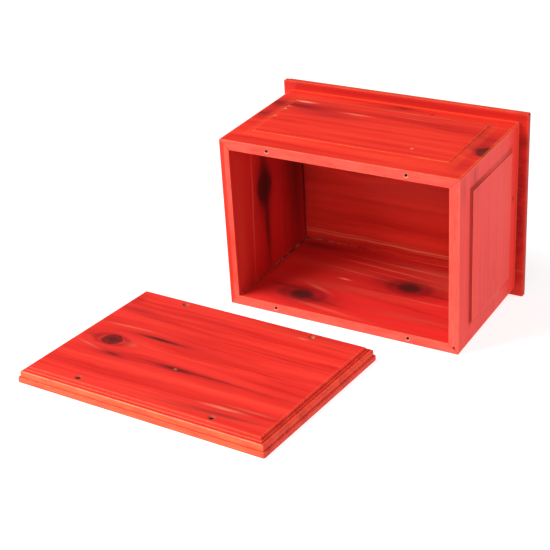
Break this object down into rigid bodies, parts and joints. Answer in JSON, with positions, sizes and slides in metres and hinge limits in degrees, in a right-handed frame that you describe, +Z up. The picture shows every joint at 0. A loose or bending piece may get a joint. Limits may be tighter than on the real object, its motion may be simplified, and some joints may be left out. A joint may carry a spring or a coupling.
{
  "type": "wooden keepsake box",
  "caption": "Red-stained hardwood keepsake box lying open on its back, with raised-panel walls, a fixed cap board and a loose moulded base board that screws to the rim.",
  "frame": {"origin": "centre of the bounding box of everything as it lies, on the surface it lies on", "axes": "+Z up, -Y the way the box's open end faces, +X along the width of the box to the right of someone who looks into it"},
  "size_m": [0.313, 0.3622, 0.1788],
  "materials": {
    "wall_wood": "red stain under gloss varnish",
    "cap_wood": "red stain under gloss varnish",
    "base_wood": "red stain under gloss varnish",
    "screw_steel": "zinc plated"
  },
  "bodies": {
    "box": {"front_board": "wall_wood", "back_board": "wall_wood", "left_board": "wall_wood", "right_board": "wall_wood", "cap_board": "cap_wood"},
    "base": {"base_plate": "base_wood"},
    "screw_1": {"base_screw_1": "screw_steel"},
    "screw_2": {"base_screw_2": "screw_steel"},
    "screw_3": {"base_screw_3": "screw_steel"},
    "screw_4": {"base_screw_4": "screw_steel"}
  },
  "joints": [
    {"name": "base_lift", "type": "slide", "parent": "box", "child": "base", "axis": [0, 0, 1], "range_m": [0, 0.2]},
    {"name": "screw_1_out", "type": "slide", "parent": "box", "child": "screw_1", "axis": [0, -0.998, 0.0624], "range_m": [0, 0.17]},
    {"name": "screw_2_out", "type": "slide", "parent": "box", "child": "screw_2", "axis": [0, -0.998, 0.0624], "range_m": [0, 0.17]},
    {"name": "screw_3_out", "type": "slide", "parent": "box", "child": "screw_3", "axis": [0, -0.998, 0.0624], "range_m": [0, 0.17]},
    {"name": "screw_4_out", "type": "slide", "parent": "box", "child": "screw_4", "axis": [0, -0.998, 0.0624], "range_m": [0, 0.17]}
  ]
}
